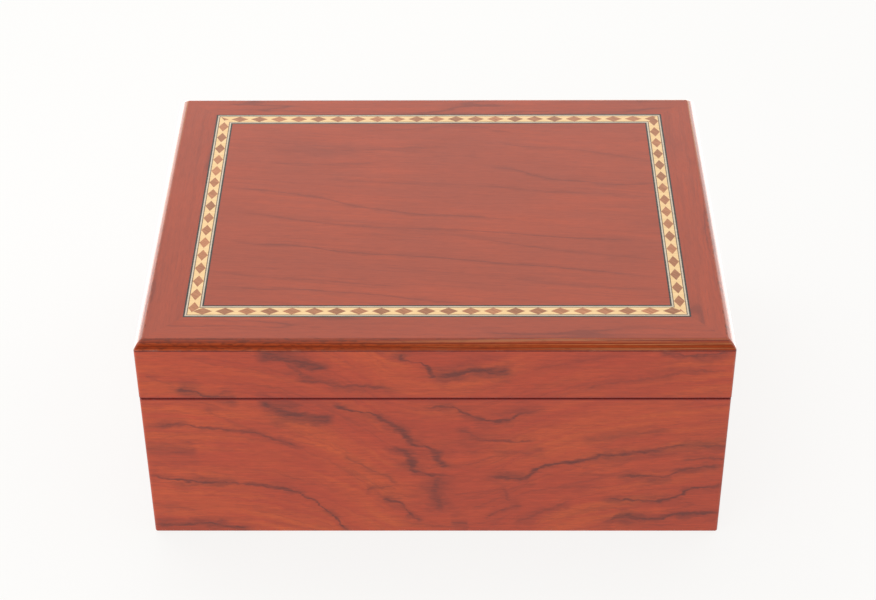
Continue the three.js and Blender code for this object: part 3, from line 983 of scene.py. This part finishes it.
def make_edging(side):
    out = BEVEL_CROWN / math.sqrt(2)
    crown = (BEVEL / 2 - out, LID_TOP - BEVEL / 2 + out)
    profile = filleted(
        [(0, JOINT), (0, LID_TOP - BEVEL), crown, (BEVEL, LID_TOP), (EDGING, LID_TOP), (EDGING, JOINT)],
        [JOINT_ARRIS, BEVEL_FOOT_ARRIS, CROWN_RADIUS, BEVEL_TOP_ARRIS, 0, 0],
    )
    make_skin(f"lid_{side}_edging", "_strip", side, LID_HALF, profile, edging_corner,
              "edging_" + along_axis(side))


# ------------------------ the inlay


def clipped(outline, keep):
    """The part of an outline where keep(point) isn't negative, keep being linear."""
    result = []
    for i, point in enumerate(outline):
        following = outline[(i + 1) % len(outline)]
        here, there = keep(point), keep(following)
        if here >= 0:
            result.append(point)
        if here * there < 0:
            share = here / (here - there)
            result.append(tuple(a + (b - a) * share for a, b in zip(point, following)))
    return result


def banding_place(side):
    """Turns (along, in from the outer edge) on one side of the inlay into a point on the lid."""
    left, front, right, back = inlay_edges()
    return {
        "front": lambda p: (left + p[0], front + p[1]),
        "back": lambda p: (left + p[0], back - p[1]),
        "left": lambda p: (left + p[1], front + p[0]),
        "right": lambda p: (right - p[1], front + p[0]),
    }[side]


def banding_length(side):
    left, front, right, back = inlay_edges()
    return right - left if along_axis(side) == "x" else back - front


def fitted(side, outlines):
    """Outlines cut off at the mitres at both ends of a side, and placed on the lid."""
    length, place = banding_length(side), banding_place(side)
    found = []
    for outline in outlines:
        cut = clipped(clipped(outline, lambda p: p[0] - p[1]), lambda p: length - p[0] - p[1])
        if len(cut) > 2:
            found.append([place(p) for p in cut])
    return found


def diamonds_and_ground(side, near, far):
    """Outlines of a side's diamonds and of the cream pieces between them."""
    length, middle, reach = banding_length(side), (near + far) / 2, DIAMOND_LENGTH / 2
    count = math.ceil(length / DIAMOND_PITCH) + 2
    centres = [FIRST_DIAMOND[side] + (i - 1) * DIAMOND_PITCH for i in range(count + 1)]
    diamonds = [[(c - reach, middle), (c, near), (c + reach, middle), (c, far)] for c in centres]
    ground = []
    for c, following in zip(centres, centres[1:]):
        half = (c + following) / 2
        ground += [
            [(c, near), (half, near), (half, middle), (c + reach, middle)],
            [(c + reach, middle), (half, middle), (half, far), (c, far)],
            [(half, near), (following, near), (following - reach, middle), (half, middle)],
            [(half, middle), (following - reach, middle), (following, far), (half, far)],
        ]
    return diamonds, ground


def make_banding(side, shuffle):
    node = f"inlay_banding_{side}"
    outlines = {}
    depth = 0.0
    for part, width in BANDING:
        near, far = depth, depth + width
        depth = far
        if part == "field":
            diamonds, ground = diamonds_and_ground(side, near, far)
            outlines["diamond"] = fitted(side, diamonds)
            outlines["cream"] = fitted(side, ground)
        else:
            length = banding_length(side)
            strip = [(0, near), (length, near), (length, far), (0, far)]
            outlines.setdefault(part, []).extend(fitted(side, [strip]))
    for part, shapes in outlines.items():
        tones = [shuffle.random() if part == "diamond" else MIDDLE_TONE for _ in shapes]
        new_piece(f"inlay_{side}_{part}", prisms(shapes, TOP_SKIN, LID_TOP, tones), "lid",
                  [node], FINISH[part])


# ------------------------ pieces kept from the frame


def dress(node, finish, eased=0.0):
    """Gives a piece of the frame its finish and, if asked, slightly rounded edges."""
    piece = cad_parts[node]
    piece.data.materials.clear()
    piece.data.materials.append(FINISH[finish])
    if eased:
        joined = piece.modifiers.new("joined_corners", "WELD")
        joined.merge_threshold = JOIN_WITHIN * MM
        rounded = piece.modifiers.new("eased_edges", "BEVEL")
        rounded.width = eased * MM
        rounded.segments = EASING_STEPS
        rounded.angle_limit = math.radians(EASED_FROM)
        rounded.harden_normals = True
        shaded_smooth(piece)


def dress_frame():
    for side in SIDES:
        axis = along_axis(side)
        for body in ("base", "lid"):
            dress(f"{body}_{side}_board", "core")
            dress(f"{body}_{side}_liner", "cedar_" + axis, eased=LINER_EASING)
        dress(f"crossband_{side}", "crossband_" + axis)
    dress("bottom_panel", "core")
    dress("top_panel", "core")
    dress("floor_liner", "cedar_level")
    dress("lid_ceiling_liner", "cedar_level")
    dress("lid_field_veneer", "field")
    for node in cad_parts:
        if "_hinge_" in node:
            dress(node, "brass", eased=BRASS_EASING)


def make_felt():
    """The felt under the base: one flat sheet, glued to the bottom panel."""
    low, high = box_mm("underside_felt")
    outline = [(low[0], low[1]), (high[0], low[1]), (high[0], high[1]), (low[0], high[1])]
    outline = filleted(outline, [FELT_CORNER] * len(outline))
    felt = new_piece("underside_felt_sheet", prisms([outline], low[2], high[2]), "base",
                     ["underside_felt"], FINISH["felt"])


# ------------------------ floor, light and camera

# The floor's half size, and how far below the felt it lies, in metres
FLOOR_REACH = 12.0
FLOOR_DROP = 0.00005
# The floor's own light. Its colour is divided by FLOOR_GLOW, and its strength makes up for that.
PAPER = 0.85
FLOOR_GLOW = 4.0
# Where the floor brightens on both sides of the box, as the lacquer shows it, and how bright it is
STRIP_FROM, STRIP_TO, LIT_STRIP = 140, 300, 3.6
# How bright the surroundings look behind the floor
BACKDROP = 0.97


def make_floor():
    """A wide pale floor with a little light of its own, which keeps the box's shadow faint. Seen
    in the lacquer only, it is brighter behind the box on both sides, as if lit by lamps there."""
    mesh = bpy.data.meshes.new("floor")
    corners = [
        (x * FLOOR_REACH, y * FLOOR_REACH, -FLOOR_DROP) for x, y in ((-1, -1), (1, -1), (1, 1), (-1, 1))
    ]
    mesh.from_pydata(corners, [], [(0, 1, 2, 3)])
    floor = bpy.data.objects.new("floor", mesh)
    bpy.context.scene.collection.objects.link(floor)

    def wire(w):
        place = w.place_mm()
        x, y, _ = w.axes(place)
        beside = w.ramp(w.calc("ABSOLUTE", x), STRIP_FROM, STRIP_TO, 0.05, LIT_STRIP)
        lamps = w.times(beside, w.ramp(y, 10, 150, 0.04, 1.0))
        mirrored = w.node("ShaderNodeLightPath").outputs["Is Glossy Ray"]
        lit = w.times(lamps, mirrored)
        paper = w.scaled(w.noise(place, scale=0.004), 0.01, PAPER)
        glow = w.scaled(w.plus(lit, paper), 1 / FLOOR_GLOW)
        return {
            "Base Color": (0.105, 0.104, 0.102, 1),
            "Emission Color": w.vector(glow, w.scaled(glow, 0.995), w.scaled(glow, 0.982)),
        }

    mesh.materials.append(material(
        "pale_floor", wire, Roughness=0.9, Specular_IOR_Level=0.0, Emission_Strength=FLOOR_GLOW,
    ))


def make_world():
    """Soft light all round: brightest low at the back, and dimmest high in front of the box."""
    world = bpy.data.worlds.new("studio")
    world.use_nodes = True
    w = Wiring(world.node_tree)
    back, up = w.axes(w.node("ShaderNodeTexCoord").outputs["Generated"])[1:3]
    low = w.ramp(up, -0.05, 0.62, 1.0, 0.0)
    high_light = w.ramp(back, -0.75, 0.0, 0.16, 1.13)
    low_light = w.ramp(back, -0.45, 0.45, 0.7, 3.1)
    strength = w.plus(w.times(low_light, low), w.times(high_light, w.minus(1.0, low)))
    seen = w.node("ShaderNodeLightPath").outputs["Is Camera Ray"]
    lighting = w.times(strength, w.minus(1.0, seen))
    background = world.node_tree.nodes["Background"]
    background.inputs["Color"].default_value = (1.0, 0.995, 0.985, 1)
    w.feed(background.inputs["Strength"], w.scaled(seen, BACKDROP, lighting))
    bpy.context.scene.world = world


def make_softbox(name, place, target, size, power, mirrored):
    """A rectangular lamp aimed at a target, in metres. mirrored says whether the lacquer shows it."""
    light = bpy.data.lights.new(name, "AREA")
    light.shape = "RECTANGLE"
    light.size, light.size_y = size
    light.energy = power
    softbox = bpy.data.objects.new(name, light)
    softbox.location = place
    aim = Vector(target) - Vector(place)
    softbox.rotation_euler = aim.to_track_quat("-Z", "Y").to_euler()
    softbox.visible_camera = False
    softbox.visible_glossy = mirrored
    bpy.context.scene.collection.objects.link(softbox)


def make_camera():
    yaw, pitch, roll = (math.radians(a) for a in (YAW, PITCH, ROLL))
    ahead = Vector((-math.sin(yaw) * math.cos(pitch), math.cos(yaw) * math.cos(pitch), -math.sin(pitch)))
    level = Vector((math.cos(yaw), math.sin(yaw), 0))
    up = level.cross(ahead)
    right = math.cos(roll) * level + math.sin(roll) * up
    up = math.cos(roll) * up - math.sin(roll) * level
    data = bpy.data.cameras.new("camera")
    data.lens, data.sensor_width = LENS, SENSOR
    camera = bpy.data.objects.new("camera", data)
    turn = Matrix((right, up, -ahead)).transposed().to_4x4()
    camera.matrix_world = Matrix.Translation(Vector(EYE) * MM) @ turn
    bpy.context.scene.collection.objects.link(camera)
    bpy.context.scene.camera = camera


# ------------------------ the whole scene

make_camera()
make_floor()
make_world()
make_softbox("overhead_softbox", place=(-0.25, 0.42, 0.9), target=(0, 0, 0), size=(0.8, 0.35),
             power=2.65, mirrored=False)
make_softbox("front_softbox", place=(-0.9, -1.3, 0.42), target=(0, 0, 0.04), size=(1.2, 0.45),
             power=11.5, mirrored=True)
bpy.context.scene.view_settings.view_transform = "Standard"

dress_frame()
for each_side in SIDES:
    make_base_veneer(each_side)
    make_lid_veneer(each_side)
    make_edging(each_side)
make_felt()
tone_order = random.Random(TONE_SEED)
for each_side in SIDES:
    make_banding(each_side, tone_order)
